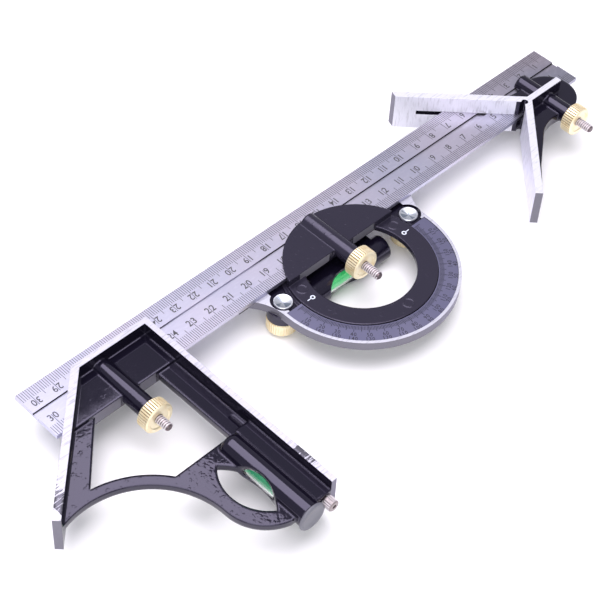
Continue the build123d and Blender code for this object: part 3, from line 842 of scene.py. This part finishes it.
def frame_sawn(x, y, z):
    """The outer wall round the arc, the hollow sides of the ears and the ears' ends."""
    across, along = x - turret_x, y - turret_y
    from_middle = abs(across)
    reach = (across * across + along * along) ** 0.5
    ear_across, ear_along = from_middle - frame_radius - ear_radius, y - ear_y
    ear_reach = (ear_across * ear_across + ear_along * ear_along) ** 0.5
    wall = (reach > frame_radius - skin) & (y > ear_y - 0.2)
    ear_wall = (abs(ear_reach - ear_radius) < skin) & (y < ear_y)
    return (wall | ear_wall | (from_middle > ear_end)) & (z > wall_foot)


frame_enamel = casting_finish("enamel of the protractor frame", frame_bright, frame_sawn,
                              rounding=0.5, paint_rough=0.12, milled=(0.58, 0.58, 0.66),
                              streak=0.6)
piece("protractor_frame_casting", "frame", [copy_of("protractor_frame")],
      frame_enamel, ["protractor_frame"])

scale_steel = Finish("satin scale metal", metallic=1.0)
point, _ = scale_steel.place()
satin = scale_steel.noise(point, 2.2, detail=4.0)
haze = scale_steel.noise(point, 0.05, detail=1.0)
scale_steel.feed(base_color=scale_steel.mix(haze, (0.145, 0.145, 0.24), (0.18, 0.175, 0.26)),
                 roughness=0.42 + satin * 0.14,
                 normal=scale_steel.bump(satin, 0.1, 0.02 * MM))
dress("protractor_scale", scale_steel.material)

_, scale_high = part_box("protractor_scale")
scale_middle = Vector((turret_x * MM, turret_y * MM, scale_high.z))
scale_place = facing((0, 0, 1), scale_middle)
scale_inner = 32.9
scale_mark_width = 0.26 * MM
degree = math.pi / 180
etched = Finish("dark etched scale", metallic=0.0)
point, _ = etched.place()
worn = etched.noise(point, 1.7)
etched.feed(base_color=etched.mix(worn, (0.01, 0.01, 0.02), (0.04, 0.036, 0.06)),
            roughness=0.6 + worn * 0.3)
scale_marks = []
for every, length in ((1, 1.9), (5, 2.7), (10, 3.2)):
    scale_marks.append(grown(
        ring_of_bars, scale_place, count=180 // every + 1, first=0.0, step=every * degree,
        radius=(scale_inner + length / 2) * MM, size=(length * MM, scale_mark_width, mark_height),
        turn=0.0, lift=0.0, material=etched.material))
piece("scale_marks", "frame", scale_marks, etched.material)

scale_digit_height = 1.9 * MM
scale_digit_spacing = 1.35 * MM
inner_row, outer_row = 37.3, 39.5
scale_numbers = []
for degrees in range(10, 180, 10):
    angle = degrees * degree
    outward = Vector((math.cos(angle), math.sin(angle), 0))
    right = Vector((-math.sin(angle), math.cos(angle), 0))
    for radius, label in ((inner_row, str(degrees)), (outer_row, str(180 - degrees))):
        scale_numbers += numerals(label, scale_digit_height, scale_digit_spacing,
                                  scale_middle + outward * radius * MM, right, -outward)
piece("scale_numbers", "frame", scale_numbers, etched.material)

# ================================================================ lock bolts and nuts
# Two nickel-plated bolts with dished heads clamp the frame to the turret's flange. Each runs
# down through a black boss into a knurled brass nut underneath.

lock_x = 37.05
lock_y = turret_y - 7.4
dished = Finish("dished bright head", metallic=1.0)
point, (x, y, _) = dished.place()
lathe = dished.noise(point, 2.0)
across = abs(x - turret_x) - lock_x
along = y - lock_y
reach = (across * across + along * along + 0.01) ** 0.5
# Painted reflection: inside about 3.4 mm the dish is coloured in light and dark sectors round its
# middle, standing in for what its chrome reflects; the rim outside keeps one light tone.
reflection_spoke = dished.node("ShaderNodeCombineXYZ", None, {
    "X": across / reach * 1.2, "Y": along / reach * 1.2, "Z": x * 0.05})
painted_reflection_sector = dished.noise(reflection_spoke.outputs[0], 1.0, detail=2.0)
tone = dished.mix(dished.between(painted_reflection_sector, 0.44, 0.54), (0.78, 0.81, 0.87), (0.34, 0.39, 0.48))
tone = dished.mix(dished.between(reach, 3.3, 3.5), tone, (0.72, 0.74, 0.80))
dished.feed(base_color=tone, roughness=0.27 + lathe * 0.12,
            normal=dished.bump(lathe, 0.08, 0.02 * MM))
shank_radius = 1.72
head_thickness = 1.2
lock_nut_length = 6.6
for side in ("left", "right"):
    node = "lock_bolt_" + side
    low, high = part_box(node)
    foot = Vector(((low.x + high.x) / 2, (low.y + high.y) / 2, low.z))
    height = (high.z - low.z) / MM
    head = height - head_thickness
    bolt_mesh = turned([(0, 0), (1.4, 0.0), (shank_radius, 0.35), (shank_radius, head),
                        (4.0, head), (4.1, head + 0.15), (4.1, height - 0.25),
                        (3.9, height - 0.02), (3.6, height), (3.3, height - 0.12),
                        (1.0, height - 0.72), (0.3, height - 0.8), (0, height - 0.8)],
                       facing((0, 0, 1), foot), 72)
    thread_place = facing((0, 0, 1), foot + Vector((0, 0, 0.3 * MM)))
    thread = grown(screw_thread, thread_place, turns=10.0, radius=shank_radius * MM,
                   length=7.0 * MM, ridge=0.27 * MM, material=dished.material)
    piece(node + "_dished", node, [bolt_mesh, thread], dished.material,
          [node], 35.0)
    nut = "lock_nut_" + side
    knurled_nut(nut, nut, (0, 0, -1), lock_nut_length, brass.material)

# ================================================================ protractor level
# The level tube lies in a round housing under the base, open in the middle so that the green
# liquid shows, with a black plug at each end.

dress("protractor_vial_glass", clear.material)
bright_green = vial_liquid("bright green spirit", (0.05, 0.50, 0.18), (0.15, 0.76, 0.32))
dress("protractor_vial_liquid", bright_green)
plug = Finish("black end plugs")
point, _ = plug.place()
plug_grain = plug.noise(point, 2.0, detail=4.0)
plug.feed(base_color=plug.mix(plug_grain, (0.012, 0.012, 0.015), (0.03, 0.03, 0.035)),
          roughness=0.35 + plug_grain * 0.3)
dress("protractor_vial_plugs", plug.material)

# ================================================================ centre head casting
# The centre head is a black casting with two arms at 90 degrees. The arms' inner faces and upper
# edges and the rib behind them are milled bright; the corner groove and the web stay black.

vee_x = 38.06
vee_y = 12.7
corner_groove = 2.6
arm_end = 81.28


def centre_bright(x, y, z):
    inward = (x - vee_x) - abs(y - vee_y)
    face = (inward > -0.09) & (x > vee_x + corner_groove)
    return (abs(z) > rim_level) | face


def centre_sawn(x, y, z):
    return (x - vee_x) + abs(y - vee_y) > arm_end


centre_enamel = casting_finish("enamel of the centre head", centre_bright, centre_sawn,
                               milled=(0.80, 0.80, 0.87), streak=0.65)
piece("centre_head_casting", "centre_head", [copy_of("centre_head")],
      centre_enamel, ["centre_head"])

# ================================================================ floor, light and camera
# The set stands on a plain pale floor in a pale room, lit by one large soft panel overhead and
# a weaker one beside it.

lowest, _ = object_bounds()
floor_z = lowest.z - 0.2 * MM
floor_half = 30.0
floor_mesh = bpy.data.meshes.new("floor")
corners = [(-floor_half, -floor_half), (floor_half, -floor_half),
           (floor_half, floor_half), (-floor_half, floor_half)]
floor_mesh.from_pydata([(a, b, floor_z) for a, b in corners], [], [(0, 1, 2, 3)])
floor = bpy.data.objects.new("floor", floor_mesh)
scene.collection.objects.link(floor)
pale = Finish("pale floor", roughness=0.9)
point, _ = pale.place()
paper = pale.noise(point, 0.02, detail=2.0)
pale.feed(base_color=pale.mix(paper, (0.95, 0.95, 0.96), (0.96, 0.96, 0.96)))
floor_mesh.materials.append(pale.material)


def panel(name, spot, aim, width, depth, radiance, colour=(1, 1, 1)):
    """A soft light panel facing a point; its power follows from its radiance and size."""
    lamp = bpy.data.lights.new(name, "AREA")
    lamp.shape = "RECTANGLE"
    lamp.size = width
    lamp.size_y = depth
    lamp.energy = radiance * math.pi * width * depth
    lamp.color = colour
    holder = bpy.data.objects.new(name, lamp)
    holder.location = spot
    holder.rotation_euler = (Vector(aim) - Vector(spot)).to_track_quat("-Z", "Y").to_euler()
    scene.collection.objects.link(holder)


panel("overhead panel", (0.285, -0.115, 1.2), (0.285, -0.115, 0.0), 1.25, 1.25, 4.2,
      (0.98, 0.935, 1.0))
panel("side fill", (1.5, 1.2, 1.2), (0.15, 0.0, 0.0), 1.8, 1.4, 2.8)
room = bpy.data.worlds.new("pale room")
room.use_nodes = True
walls = room.node_tree.nodes["Background"]
walls.inputs["Color"].default_value = (0.93, 0.93, 1.0, 1.0)
walls.inputs["Strength"].default_value = 0.5
scene.world = room
scene.view_settings.view_transform = "Standard"

lens = bpy.data.cameras.new("camera")
lens.sensor_width = 36.0
lens.lens = 105.007
lens.clip_start, lens.clip_end = 0.01, 100.0
camera = bpy.data.objects.new("camera", lens)
scene.collection.objects.link(camera)
camera_spot = Vector((0.536384, 0.342496, 0.523281))
forward = Vector((-0.493134, -0.451824, -0.743421)).normalized()
upward = Vector((-0.499858, -0.552247, 0.667206)).normalized()
sideways = forward.cross(upward).normalized()
upward = sideways.cross(forward)
camera_turn = Matrix((sideways, upward, -forward)).transposed().to_4x4()
camera.matrix_world = Matrix.Translation(camera_spot) @ camera_turn
scene.camera = camera
